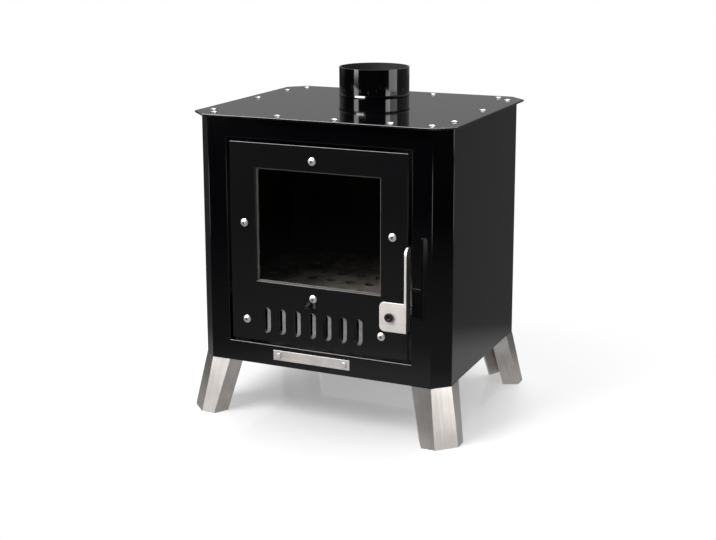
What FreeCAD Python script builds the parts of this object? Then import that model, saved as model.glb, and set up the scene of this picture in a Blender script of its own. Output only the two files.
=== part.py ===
"""Camping wood stove: folded casing on splayed legs, glazed door with air slide and turning latch.

Millimetres, +Z up. The stove stands on z = 0 and its front faces -Y.
"""
import math
import os

import FreeCAD
import Part
import Sketcher

doc = FreeCAD.newDocument("camping_wood_stove")

# Driving dimensions, one cell each
DIMENSIONS = {
    # casing
    "body_width": 368, "body_depth": 302, "body_height": 342, "corner_chamfer": 21,
    "casing_sheet": 2, "bend_radius": 3, "base_sheet": 2,
    # top plate, its frame and the flue collar
    "plate_thickness": 3, "plate_side": 7, "plate_front": 10, "plate_back": 14, "plate_chamfer": 24,
    "frame_sheet": 2, "frame_width": 20, "top_screw_inset": 8, "top_screw_side_inset": 12,
    "top_screw_corner": 26, "top_screw_end": 27,
    "collar_radius": 50, "collar_wall": 2, "collar_height": 50, "collar_back": 41,
    "bead_height": 11, "bead_swell": 1.2,
    # legs
    "leg_height": 78, "leg_splay": 14.5, "leg_sheet": 2.5, "leg_top_facet": 27,
    "leg_foot_facet": 19, "leg_foot_chamfer": 24, "leg_flap": 21, "leg_tab": 44,
    "leg_screw_reach": 24.5, "leg_screw_step": 8.5,
    # grate and ash pan
    "grate_height": 88, "grate_thickness": 4, "grate_side_gap": 3, "grate_front_gap": 27,
    "grate_rear_gap": 3, "grate_hole": 17, "grate_pitch": 30.6, "grate_row": 38.4, "grate_margin": 27,
    "ledge_width": 16, "ledge_sheet": 2, "ledge_drop": 20,
    "pan_end_gap": 24, "pan_side_gap": 37, "pan_height": 24, "pan_sheet": 1.5,
    # door
    "door_side": 33, "door_top": 33, "door_bottom": 34, "door_thickness": 3, "door_gap": 5,
    "window_side": 38.5, "window_top": 34, "window_bottom": 118,
    "glass_lap": 8, "glass_thickness": 4, "gasket_thickness": 2, "gasket_show": 1.5,
    "retainer_sheet": 2, "retainer_lap": 10, "ear_width": 20, "ear_margin": 8,
    "glass_screw_gap": 17, "glass_screw_lift": 1.5, "glass_screw_top": 14,
    "glass_screw_bottom": 16, "glass_screw_shift": 6,
    # vents and air slide, laid out for one door width and spread with it
    "layout_width": 260,
    "slot_width": 11.2, "slot_height": 35, "slot_pitch": 22.8, "slot_rise": 64, "vent_shift": 8.5,
    "slide_sheet": 1.5, "slide_play": 0.3, "slide_height": 46, "slide_left_end": 6.5,
    "slide_right_end": 14, "slide_shut": 6.2, "slide_open_travel": 6.2, "slide_shut_travel": 5,
    "guide_sheet": 2, "guide_height": 44, "guide_screw_left": 107, "guide_screw_right": 93,
    "guide_screw_rise": 62.5, "guide_margin": 8,
    "knob_rise": 92.5, "knob_side": 11, "knob_neck": 2.5, "knob_neck_length": 5, "knob_radius": 3.2,
    "knob_length": 6, "knob_play": 0.5, "tab_width": 12, "tab_margin": 3.4,
    # screws
    "screw_radius": 3, "head_radius": 5.4, "head_height": 3.2, "nut_flats": 10, "nut_height": 5,
    "socket_flats": 4, "socket_depth": 1.8, "spacer_wall": 2.2, "screw_fit": 0.2, "screw_tail": 1,
    "top_head_radius": 5, "top_head_height": 2.2,
    # hinge
    "hinge_inset": 14, "hinge_back": 9, "hinge_pin_radius": 3, "hinge_play": 0.05, "lug_length": 7,
    "lug_half": 8, "bracket_sheet": 4, "bracket_play": 0.5, "bracket_half": 11, "bracket_drop": 22,
    # handle and latch
    "handle_inset": 10.5, "handle_rise": 102.5, "handle_standoff": 34, "handle_sheet": 3,
    "flange_left": 14, "flange_right": 23, "flange_height": 39, "flange_round": 7,
    "blade_length": 72.5, "blade_depth": 15, "blade_round": 10,
    "spindle_radius": 5, "spindle_play": 0.05, "bush_wall": 2, "bush_front": 6, "bush_back": 0.3,
    "handle_screw_radius": 3, "handle_head_radius": 5.8, "handle_head_height": 4,
    "handle_thread": 14, "tongue_length": 28, "tongue_half": 7, "tongue_sheet": 3, "keeper_sheet": 1,
    "keeper_width": 16, "keeper_height": 40, "latch_screw_length": 10,
    # blank plate under the door
    "strip_width": 114, "strip_height": 14, "strip_sheet": 1.2, "strip_rise": 16, "strip_shift": 10,
    "rivet_radius": 2, "rivet_head": 3.6, "rivet_head_height": 1.4, "rivet_inset": 8,
    # one overrun serves all cuts
    "overrun": 2,
}
VENT_COUNT = 7
FRONT_SHARES = (-1, -0.39, 0.14, 0.64, 1)
BACK_SHARES = (-1, -0.36, 0.32, 0.96)
LEFT_SHARES = (-0.97, 0.08, 0.84)
RIGHT_SHARES = (-0.8, 0.11, 0.99)
BEND_SHARE = math.sqrt(2) - 1
FLARE_SHARE = 0.52
FLARE_WALL_SHARE = math.sqrt(1 + FLARE_SHARE ** 2)
DIAGONAL_SHARE = math.sqrt(2)
HEX_SHARE = 1 / math.sqrt(3)

sheet = doc.addObject("Spreadsheet::Sheet", "dims")
for row, (alias, number) in enumerate(DIMENSIONS.items(), start=1):
    sheet.set(f"A{row}", alias)
    sheet.set(f"B{row}", str(number))
    sheet.setAlias(f"B{row}", alias)
doc.recompute()


class Size:
    """A length that carries its number and the expression that gives it from the sheet."""

    def __init__(self, value, text):
        self.value = value
        self.text = text

    def join(self, sign, other, swap=False):
        other = other if isinstance(other, Size) else Size(float(other), repr(float(other)))
        left, right = (other, self) if swap else (self, other)
        results = {
            "+": lambda: left.value + right.value,
            "-": lambda: left.value - right.value,
            "*": lambda: left.value * right.value,
            "/": lambda: left.value / right.value,
        }
        return Size(results[sign](), f"({left.text} {sign} {right.text})")

    def __add__(self, other):
        return self.join("+", other)

    def __radd__(self, other):
        return self.join("+", other, swap=True)

    def __sub__(self, other):
        return self.join("-", other)

    def __rsub__(self, other):
        return self.join("-", other, swap=True)

    def __mul__(self, other):
        return self.join("*", other)

    def __rmul__(self, other):
        return self.join("*", other, swap=True)

    def __truediv__(self, other):
        return self.join("/", other)

    def __neg__(self):
        return self.join("*", -1)


class Cells:
    """Gives each cell of the sheet as a Size."""

    def __getattr__(self, alias):
        return Size(float(sheet.get(alias)), f"dims.{alias}")


d = Cells()
ZERO = Size(0.0, "0.0")

# Places that many pieces share, worked out from the cells
HALF_W = d.body_width / 2
HALF_D = d.body_depth / 2
HANDLE_REACH = d.handle_standoff + d.handle_sheet + d.handle_head_height
CENTRE_Y = (HANDLE_REACH - d.leg_splay) / 2
FRONT = CENTRE_Y - HALF_D
FLOOR = d.leg_height
TOP = d.leg_height + d.body_height
DOOR_BACK = FRONT + d.door_thickness
DOOR_LOW = FLOOR + d.door_bottom
DOOR_W = d.body_width - d.corner_chamfer * 2 - d.door_side * 2
DOOR_H = d.body_height - d.door_bottom - d.door_top
DOOR_HIGH = DOOR_LOW + DOOR_H
WINDOW_W = DOOR_W - d.window_side * 2
WINDOW_H = d.body_height - d.door_top - d.window_top - d.window_bottom
WINDOW_LOW = FLOOR + d.window_bottom
WINDOW_HIGH = WINDOW_LOW + WINDOW_H
GLASS_BACK = DOOR_BACK + d.gasket_thickness + d.glass_thickness
COLLAR_Y = CENTRE_Y + d.collar_back
HINGE_X = -(DOOR_W / 2) + d.hinge_inset
HINGE_Y = FRONT + d.hinge_back
HANDLE_X = DOOR_W / 2 - d.handle_inset
HANDLE_Z = FLOOR + d.handle_rise
SLIDE_FRONT = DOOR_BACK + d.slide_play
GUIDE_FRONT = SLIDE_FRONT + d.slide_sheet + d.slide_play
SPREAD = DOOR_W / d.layout_width
SLOT = d.slot_width * SPREAD
PITCH = d.slot_pitch * SPREAD
ROW = PITCH * (VENT_COUNT - 1) + SLOT
VENT_X = -(d.vent_shift * SPREAD)
KNOB_X = -(d.knob_side * SPREAD)
SHUT = d.slide_shut * SPREAD


def bind(thing, name, size):
    """Sets one property from a size and ties it to the sheet."""
    thing.setExpression(name, size.text)


def put(thing, place, rotation=None):
    """Places an object at three sizes, which stay tied to the sheet."""
    turn = rotation or FreeCAD.Rotation()
    thing.Placement = FreeCAD.Placement(FreeCAD.Vector(*[size.value for size in place]), turn)
    for axis, size in zip("xyz", place):
        bind(thing, f"Placement.Base.{axis}", size)
    return thing


def box(name, lengths, place):
    """A box from its three lengths and its low corner."""
    solid = doc.addObject("Part::Box", name)
    for side, size in zip(("Length", "Width", "Height"), lengths):
        bind(solid, side, size)
    return put(solid, place)


TURNS = {
    "z": FreeCAD.Rotation(),
    "-z": FreeCAD.Rotation(FreeCAD.Vector(1, 0, 0), 180),
    "y": FreeCAD.Rotation(FreeCAD.Vector(1, 0, 0), -90),
    "-y": FreeCAD.Rotation(FreeCAD.Vector(1, 0, 0), 90),
}


def rod(name, radius, length, place, axis="z"):
    """A cylinder from its radius, its length and the centre of its near end."""
    solid = doc.addObject("Part::Cylinder", name)
    bind(solid, "Radius", radius)
    bind(solid, "Height", length)
    return put(solid, place, TURNS[axis])


def hexagon(name, flats, length, place, axis="z"):
    """A hexagonal prism from its width across flats."""
    solid = doc.addObject("Part::Prism", name)
    solid.Polygon = 6
    bind(solid, "Circumradius", flats * HEX_SHARE)
    bind(solid, "Height", length)
    return put(solid, place, TURNS[axis])


def fuse(name, *pieces):
    """Joins overlapping or touching pieces into one solid."""
    joined = doc.addObject("Part::MultiFuse", name)
    joined.Shapes = list(pieces)
    joined.Refine = True
    return joined


def group(name, pieces):
    """Keeps separate solids in one node."""
    bundle = doc.addObject("Part::Compound", name)
    bundle.Links = list(pieces)
    return bundle


def cut(name, base, *tools):
    """Cuts the tools, which do not meet one another, out of the base."""
    result = doc.addObject("Part::Cut", name)
    result.Base = base
    result.Tool = tools[0] if len(tools) == 1 else group(f"{name}_tools", tools)
    result.Refine = True
    return result


def new_sketch(body, role, name):
    """A sketch on one of the body's own origin planes."""
    sketch = body.newObject("Sketcher::SketchObject", name)
    plane = [item for item in body.Origin.OriginFeatures if item.Role == role][0]
    sketch.AttachmentSupport = [(plane, "")]
    sketch.MapMode = "FlatFace"
    return sketch


def pin_point(sketch, geometry, corner, point):
    """Ties one point of a sketch to two sizes measured from its origin."""
    for kind, size in zip(("DistanceX", "DistanceY"), point):
        index = sketch.addConstraint(Sketcher.Constraint(kind, -1, 1, geometry, corner, size.value))
        sketch.setExpression(f"Constraints[{index}]", size.text)


def flat(point):
    """A sketch point as a vector."""
    return FreeCAD.Vector(point[0].value, point[1].value, 0)


def draw_outline(sketch, points):
    """A closed outline of straight lines through points given in sizes."""
    first = sketch.GeometryCount
    last = first + len(points) - 1
    for start, end in zip(points, points[1:] + points[:1]):
        sketch.addGeometry(Part.LineSegment(flat(start), flat(end)))
    for number in range(first, last + 1):
        following = first if number == last else number + 1
        sketch.addConstraint(Sketcher.Constraint("Coincident", number, 2, following, 1))
    for number, point in zip(range(first, last + 1), points):
        pin_point(sketch, number, 1, point)


def draw_circle(sketch, centre, radius):
    """A circle from its centre and radius."""
    number = sketch.addGeometry(Part.Circle(flat(centre), FreeCAD.Vector(0, 0, 1), radius.value))
    pin_point(sketch, number, 3, centre)
    index = sketch.addConstraint(Sketcher.Constraint("Radius", number, radius.value))
    sketch.setExpression(f"Constraints[{index}]", radius.text)


def rectangle(x, z, width, height):
    """The corners of a rectangle from its low corner."""
    return [(x, z), (x + width, z), (x + width, z + height), (x, z + height)]


def centred(z, width, height):
    """The corners of a rectangle centred across the stove."""
    return rectangle(-(width / 2), z, width, height)


def plate(name, role, outlines, circles, thickness, place):
    """A sheet: outlines and round holes on one origin plane, padded away from the front."""
    body = doc.addObject("PartDesign::Body", name)
    sketch = new_sketch(body, role, f"{name}_sketch")
    for outline in outlines:
        draw_outline(sketch, outline)
    for centre, radius in circles:
        draw_circle(sketch, centre, radius)
    pad = body.newObject("PartDesign::Pad", f"{name}_pad")
    pad.Profile = sketch
    pad.Reversed = role == "XZ_Plane"
    bind(pad, "Length", thickness)
    return put(body, place)


def upright(name, outlines, circles, thickness, y):
    """A sheet that stands parallel to the front, with its front face at y."""
    return plate(name, "XZ_Plane", outlines, circles, thickness, (ZERO, y, ZERO))


def level(name, outlines, circles, thickness, z):
    """A sheet that lies level, with its underside at z."""
    return plate(name, "XY_Plane", outlines, circles, thickness, (ZERO, CENTRE_Y, z))


def octagon(half_x, half_y, chamfer):
    """A rectangle about the centre with its corners cut off at 45 degrees."""
    quarter = [(half_x, half_y - chamfer), (half_x - chamfer, half_y)]
    left = [(-x, y) for x, y in reversed(quarter)]
    return quarter + left + [(-x, -y) for x, y in quarter] + [(x, -y) for x, y in reversed(quarter)]


nodes = []


def keep(label, thing):
    """Names a finished sub-part; its label names its file."""
    thing.Label = label
    nodes.append(thing)
    return thing


def vertical_bends(solid):
    """Names of the upright edges of a folded sheet that are bends, not sheet ends."""
    names = []
    sheet_ends = sheet.get("casing_sheet") * 2
    for number, edge in enumerate(solid.Shape.Edges, start=1):
        start, end = edge.Vertexes[0].Point, edge.Vertexes[-1].Point
        tall = abs(end.z - start.z) > sheet.get("body_height") / 2
        sheet_end = abs(start.y - HALF_D.value + sheet.get("corner_chamfer")) < sheet_ends
        if tall and not sheet_end:
            names.append(f"Edge{number}")
    return names


def screw_holes(places, radius):
    """Round holes for a sketch, one for each place."""
    return [(place, radius) for place in places]


SCREW_HOLE = d.screw_radius + d.screw_fit


DOME_TILT = math.radians(55)
DOME_RADIUS_SHARE = 1 / math.cos(DOME_TILT)
DOME_SINK_SHARE = math.tan(DOME_TILT)
DOME_RISE_SHARE = DOME_RADIUS_SHARE - DOME_SINK_SHARE


def raised(place, sign, distance):
    """A place moved along one axis."""
    return tuple(part + distance * step if step else part for part, step in zip(place, sign))


def dome(name, radius, place, sign, axis):
    """The shallow round top of a screw's head, from the radius and the centre of its rim."""
    solid = doc.addObject("Part::Sphere", name)
    solid.Angle1 = math.degrees(DOME_TILT)
    bind(solid, "Radius", radius * DOME_RADIUS_SHARE)
    return put(solid, raised(place, sign, radius * -DOME_SINK_SHARE), TURNS[axis])


def socket_screw(name, x, y, z, length, axis, head_radius, head_height, radius, domed=True):
    """A socket screw: its flat or domed head stands proud of the place and its shank goes the other way."""
    away = {"y": "-y", "-z": "z", "z": "-z"}[axis]
    sign = {"y": (0, -1, 0), "-z": (0, 0, 1), "z": (0, 0, -1)}[axis]
    place = (x, y, z)
    rim = head_height - head_radius * DOME_RISE_SHARE if domed else head_height
    head = rod(f"{name}_head", head_radius, rim, place, away)
    solids = [head, rod(f"{name}_shank", radius, length, place, axis)]
    if domed:
        solids.append(dome(f"{name}_dome", head_radius, raised(place, sign, rim), sign, away))
    seat = raised(place, sign, head_height - d.socket_depth)
    socket = hexagon(f"{name}_socket", d.socket_flats, d.socket_depth + d.overrun, seat, away)
    return cut(f"{name}_screw", fuse(f"{name}_solid", *solids), socket)


def hex_nut(name, x, y, z, axis):
    """A hexagon nut that bears on the place, on a screw that runs along the axis."""
    block = hexagon(f"{name}_block", d.nut_flats, d.nut_height, (x, y, z), axis)
    back = d.overrun
    start = {"y": (x, y - back, z), "z": (x, y, z - back), "-z": (x, y, z + back)}[axis]
    bore = rod(f"{name}_bore", d.screw_radius, d.nut_height + back * 2, start, axis)
    return cut(f"{name}_nut", block, bore)


def make_casing():
    """Front, chamfers and sides in one folded sheet, closed by a back panel, a base and a top frame."""
    wall = d.casing_sheet
    chamfer = d.corner_chamfer
    inner_bend = wall * BEND_SHARE
    seam = HALF_D - chamfer
    outer = [(HALF_W, seam), (HALF_W, -HALF_D + chamfer), (HALF_W - chamfer, -HALF_D)]
    inner = [
        (HALF_W - chamfer - inner_bend, -HALF_D + wall),
        (HALF_W - wall, -HALF_D + chamfer + inner_bend),
        (HALF_W - wall, seam),
    ]
    left_outer = [(-x, y) for x, y in reversed(outer)]
    left_inner = [(-x, y) for x, y in reversed(inner)]
    wrap = level("wrap", [outer + left_outer + left_inner + inner], [], d.body_height, FLOOR)
    doc.recompute()
    folded = wrap.Tip
    bends = wrap.newObject("PartDesign::Fillet", "wrap_bends")
    bends.Base = (folded, vertical_bends(folded))
    bind(bends, "Radius", d.bend_radius)
    wrap.Tip = bends
    opening_width = DOOR_W + d.door_gap * 2
    opening = box(
        "door_opening",
        (opening_width, wall + d.overrun * 2, DOOR_H + d.door_gap * 2),
        (-(opening_width / 2), FRONT - d.overrun, DOOR_LOW - d.door_gap),
    )
    rivets = [
        rod(f"rivet_hole_{side}", d.rivet_radius + d.screw_fit, wall + d.overrun * 2,
            (rivet_x(side), FRONT - d.overrun, FLOOR + d.strip_rise), "y")
        for side in (-1, 1)
    ]
    keep("casing_wrap", cut("wrap_open", wrap, opening, *rivets))

    rear_outer = [(HALF_W, seam), (HALF_W - chamfer, HALF_D)]
    rear_inner = [
        (HALF_W - chamfer - inner_bend, HALF_D - wall),
        (HALF_W - wall * DIAGONAL_SHARE, seam),
    ]
    rear_left = [(-x, y) for x, y in reversed(rear_outer)]
    rear_left_inner = [(-x, y) for x, y in reversed(rear_inner)]
    rear = level("rear", [rear_outer + rear_left + rear_left_inner + rear_inner], [], d.body_height, FLOOR)
    keep("back_panel", rear)

    inside = octagon(HALF_W - wall, HALF_D - wall, chamfer - wall * (2 - DIAGONAL_SHARE))
    holes = screw_holes(leg_screw_places(), SCREW_HOLE)
    keep("base_plate", level("base", [inside], holes, d.base_sheet, FLOOR))

    edge = wall + d.frame_width
    window = octagon(HALF_W - edge, HALF_D - edge, chamfer)
    holes = screw_holes(top_screw_places(), SCREW_HOLE)
    keep("top_frame", level("frame", [inside, window], holes, d.frame_sheet, TOP - d.frame_sheet))


def rivet_x(side):
    """Place of one rivet of the blank plate, side -1 or 1."""
    return -d.strip_shift + (d.strip_width / 2 - d.rivet_inset) * side


def top_screw_places():
    """Plan places of the top plate's screws: rows along the front, the back and the sides."""
    x_side = HALF_W - d.top_screw_side_inset
    y_row = HALF_D - d.top_screw_inset
    across = HALF_W - d.top_screw_corner
    along = HALF_D - d.top_screw_end
    front = [(across * share, -y_row) for share in FRONT_SHARES]
    back = [(across * share, y_row) for share in BACK_SHARES]
    left = [(-x_side, along * share) for share in LEFT_SHARES]
    right = [(x_side, along * share) for share in RIGHT_SHARES]
    return front + back + left + right


def leg_screw_places():
    """Plan places of the leg screws, two for each leg."""
    x = HALF_W - d.leg_screw_reach
    y = HALF_D - d.leg_screw_reach
    step = d.leg_screw_step
    places = []
    for sx in (-1, 1):
        for sy in (-1, 1):
            places.append(((x + step) * sx, (y - step) * sy))
            places.append(((x - step) * sx, (y + step) * sy))
    return places


def make_top():
    """The overhanging top plate, its screws and nuts, and the flue collar."""
    half_x = HALF_W + d.plate_side
    half_y = HALF_D + (d.plate_front + d.plate_back) / 2
    back = (d.plate_back - d.plate_front) / 2
    outline = [(x, y + back) for x, y in octagon(half_x, half_y, d.plate_chamfer)]
    flue = ((ZERO, d.collar_back), d.collar_radius - d.collar_wall)
    holes = screw_holes(top_screw_places(), SCREW_HOLE) + [flue]
    top = level("top", [outline], holes, d.plate_thickness, TOP)
    keep("top_plate", top)

    surface = TOP + d.plate_thickness
    grip = d.plate_thickness + d.frame_sheet
    screws = []
    nuts = []
    for number, (x, y) in enumerate(top_screw_places()):
        place = (x, CENTRE_Y + y, surface)
        length = grip + d.nut_height + d.screw_tail
        screws.append(socket_screw(f"top_{number}", *place, length, "-z",
                                   d.top_head_radius, d.top_head_height, d.screw_radius))
        nuts.append(hex_nut(f"top_{number}", x, CENTRE_Y + y, surface - grip, "-z"))
    keep("top_screws", group("top_screw_group", screws))
    keep("top_nuts", group("top_nut_group", nuts))

    body = doc.addObject("PartDesign::Body", "collar")
    sketch = new_sketch(body, "XZ_Plane", "collar_profile")
    inner = d.collar_radius - d.collar_wall
    low = d.bead_height - d.bead_swell * 2
    high = d.bead_height + d.bead_swell * 2
    draw_outline(sketch, [
        (inner, ZERO), (d.collar_radius, ZERO), (d.collar_radius, low),
        (d.collar_radius + d.bead_swell, d.bead_height), (d.collar_radius, high),
        (d.collar_radius, d.collar_height), (inner, d.collar_height),
    ])
    turn = body.newObject("PartDesign::Revolution", "collar_turn")
    turn.Profile = sketch
    turn.ReferenceAxis = (sketch, ["V_Axis"])
    turn.Angle = 360
    keep("flue_collar", put(body, (ZERO, COLLAR_Y, surface)))


def leg_section(facet, chamfer, flap, out):
    """Plan outline of one folded leg at one height, for the front right corner."""
    wall = d.leg_sheet
    bend = wall * BEND_SHARE
    x = HALF_W + out
    y = -HALF_D - out
    start = x - chamfer - facet
    end = y + chamfer + facet
    lean = flap * FLARE_SHARE
    thick = wall * FLARE_WALL_SHARE
    inner = thick - wall * FLARE_SHARE
    return [
        (start - lean, y + flap), (start, y), (x - chamfer, y), (x, y + chamfer), (x, end),
        (x - flap, end + lean), (x - flap, end + lean - thick),
        (x - wall, end - inner), (x - wall, y + chamfer + bend),
        (x - chamfer - bend, y + wall), (start + inner, y + wall), (start - lean + thick, y + flap),
    ]


def make_legs():
    """Four folded legs that splay outwards, each with a tab screwed to the base."""
    screws = []
    nuts = []
    corners = (("front_left", -1, 1), ("front_right", 1, 1), ("rear_left", -1, -1), ("rear_right", 1, -1))
    for name, sx, sy in corners:
        body = doc.addObject("PartDesign::Body", f"leg_{name}_body")
        sections = []
        for level_name, height, section in (
            ("foot", ZERO, leg_section(d.leg_foot_facet, d.leg_foot_chamfer, d.leg_flap, d.leg_splay)),
            ("head", d.leg_height, leg_section(d.leg_top_facet, d.corner_chamfer, d.leg_flap, ZERO)),
        ):
            sketch = new_sketch(body, "XY_Plane", f"leg_{name}_{level_name}")
            draw_outline(sketch, [(x * sx, y * sy) for x, y in section])
            bind(sketch, "AttachmentOffset.Base.z", height)
            sections.append(sketch)
        loft = body.newObject("PartDesign::AdditiveLoft", f"leg_{name}_loft")
        loft.Profile = sections[0]
        loft.Sections = [sections[1]]
        loft.Ruled = True
        put(body, (ZERO, CENTRE_Y, ZERO))
        tab = make_leg_tab(name, sx, sy)
        keep(f"leg_{name}", fuse(f"leg_{name}_solid", body, tab))
    for number, (x, y) in enumerate(leg_screw_places()):
        under = FLOOR - d.leg_sheet
        grip = d.leg_sheet + d.base_sheet
        screws.append(socket_screw(f"leg_{number}", x, CENTRE_Y + y, under,
                                   grip + d.nut_height + d.screw_tail, "z",
                                   d.head_radius, d.head_height, d.screw_radius))
        nuts.append(hex_nut(f"leg_{number}", x, CENTRE_Y + y, FLOOR + d.base_sheet, "z"))
    keep("leg_screws", group("leg_screw_group", screws))
    keep("leg_nuts", group("leg_nut_group", nuts))


def make_leg_tab(name, sx, sy):
    """The level tab folded in at the head of one leg."""
    wall = d.leg_sheet
    near_x = HALF_W - wall
    near_y = HALF_D - wall
    far_x = near_x - d.leg_tab
    far_y = near_y - d.leg_tab
    cut_corner = d.corner_chamfer - wall * (2 - DIAGONAL_SHARE)
    outline = [
        (far_x, near_y), (near_x - cut_corner, near_y), (near_x, near_y - cut_corner),
        (near_x, far_y), (far_x, far_y),
    ]
    points = [(x * sx, -y * sy) for x, y in outline]
    sy_world = -sy
    holes = [
        place for place in leg_screw_places()
        if place[0].value * sx > 0 and place[1].value * sy_world > 0
    ]
    return level(f"leg_{name}_tab", [points], screw_holes(holes, SCREW_HOLE), wall, FLOOR - wall)


def make_firebox():
    """The perforated grate on two ledges, and the ash pan under it."""
    top = FLOOR + d.grate_height
    width = d.body_width - d.casing_sheet * 2 - d.grate_side_gap * 2
    length = d.body_depth - d.casing_sheet * 2 - d.grate_front_gap - d.grate_rear_gap
    near = FRONT + d.casing_sheet + d.grate_front_gap
    low = (-(width / 2), near, top - d.grate_thickness)
    solid = doc.addObject("Part::Feature", "grate_sheet")
    corner = d.corner_chamfer.value
    across, deep = width.value, length.value
    outline = [(0, 0), (across, 0), (across, deep - corner), (across - corner, deep),
               (corner, deep), (0, deep - corner), (0, 0)]
    blank = Part.Face(Part.makePolygon([FreeCAD.Vector(x, y, 0) for x, y in outline]))
    faces = blank.cut(Part.makeCompound([
        Part.Face(Part.Wire(Part.makeCircle(d.grate_hole.value / 2, place)))
        for place in grate_holes(across, deep)
    ]))
    solid.Shape = faces.Faces[0].extrude(FreeCAD.Vector(0, 0, d.grate_thickness.value))
    put(solid, low)
    keep("grate", solid)

    under = top - d.grate_thickness
    inside = HALF_W - d.casing_sheet
    run = CENTRE_Y + HALF_D - d.corner_chamfer - d.ledge_sheet * 2 - near
    for name, sign in (("left", -1), ("right", 1)):
        shelf_x = inside - d.ledge_width if sign > 0 else -inside
        shelf = box(f"ledge_{name}_shelf", (d.ledge_width, run, d.ledge_sheet),
                    (shelf_x, near, under - d.ledge_sheet))
        back_x = inside - d.ledge_sheet if sign > 0 else -inside
        back = box(f"ledge_{name}_back", (d.ledge_sheet, run, d.ledge_drop),
                   (back_x, near, under - d.ledge_drop))
        keep(f"grate_ledge_{name}", fuse(f"ledge_{name}", shelf, back))

    floor = FLOOR + d.base_sheet
    pan_width = d.body_width - d.casing_sheet * 2 - d.pan_side_gap * 2
    pan_length = d.body_depth - d.casing_sheet * 2 - d.pan_end_gap * 2
    corner = (-(pan_width / 2), CENTRE_Y - pan_length / 2)
    outer = box("pan_outer", (pan_width, pan_length, d.pan_height), (*corner, floor))
    wall = d.pan_sheet
    inner = box("pan_inner", (pan_width - wall * 2, pan_length - wall * 2, d.pan_height),
                (corner[0] + wall, corner[1] + wall, floor + wall))
    keep("ash_pan", cut("pan", outer, inner))


def grate_holes(width, length):
    """Centres of the grate's holes, in rows across and files from front to back."""
    pitch = d.grate_pitch.value
    step = d.grate_row.value
    margin = d.grate_margin.value
    columns = int((width - margin * 2) // pitch)
    rows = int((length - margin * 2) // step)
    start_x = (width - columns * pitch) / 2
    start_y = (length - rows * step) / 2
    for row in range(rows + 1):
        for column in range(columns + 1):
            yield FreeCAD.Vector(start_x + column * pitch, start_y + row * step, 0)


def glass_screw_places():
    """Places, across and up the door, of the four screws that clamp the glass."""
    side = WINDOW_W / 2 + d.glass_screw_gap
    middle = WINDOW_LOW + WINDOW_H / 2 + d.glass_screw_lift
    return [
        (-d.glass_screw_shift, WINDOW_HIGH + d.glass_screw_top),
        (-d.glass_screw_shift, WINDOW_LOW - d.glass_screw_bottom),
        (-side, middle),
        (side, middle),
    ]


def guide_screw_places():
    """Places of the two screws that hold the air slide's guide."""
    rise = FLOOR + d.guide_screw_rise
    return [(-(d.guide_screw_left * SPREAD), rise), (d.guide_screw_right * SPREAD, rise)]


def slots(name, y, thickness, shift):
    """Tools that cut the row of round-ended air slots through a sheet."""
    tools = []
    half = SLOT / 2
    low = FLOOR + d.slot_rise - d.slot_height / 2
    deep = thickness + d.overrun * 2
    for number in range(VENT_COUNT):
        x = VENT_X + shift + PITCH * (number - (VENT_COUNT - 1) / 2)
        straight = box(f"{name}_{number}_straight", (SLOT, deep, d.slot_height - SLOT),
                       (x - half, y - d.overrun, low + half))
        ends = [
            rod(f"{name}_{number}_{end}", half, deep, (x, y - d.overrun, z), "y")
            for end, z in (("low", low + half), ("high", low + d.slot_height - half))
        ]
        tools.append(fuse(f"{name}_{number}", straight, *ends))
    return tools


def knob_slot(name, y, thickness):
    """Tool for the round-ended slot that the air knob's neck runs in."""
    half = d.knob_neck + d.knob_play
    deep = thickness + d.overrun * 2
    left = KNOB_X - d.slide_shut_travel * SPREAD
    run = (d.slide_shut_travel + d.slide_open_travel) * SPREAD
    z = FLOOR + d.knob_rise
    straight = box(f"{name}_straight", (run, deep, half * 2), (left, y - d.overrun, z - half))
    ends = [rod(f"{name}_{side}", half, deep, (x, y - d.overrun, z), "y")
            for side, x in (("left", left), ("right", left + run))]
    return fuse(name, straight, *ends)


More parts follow.
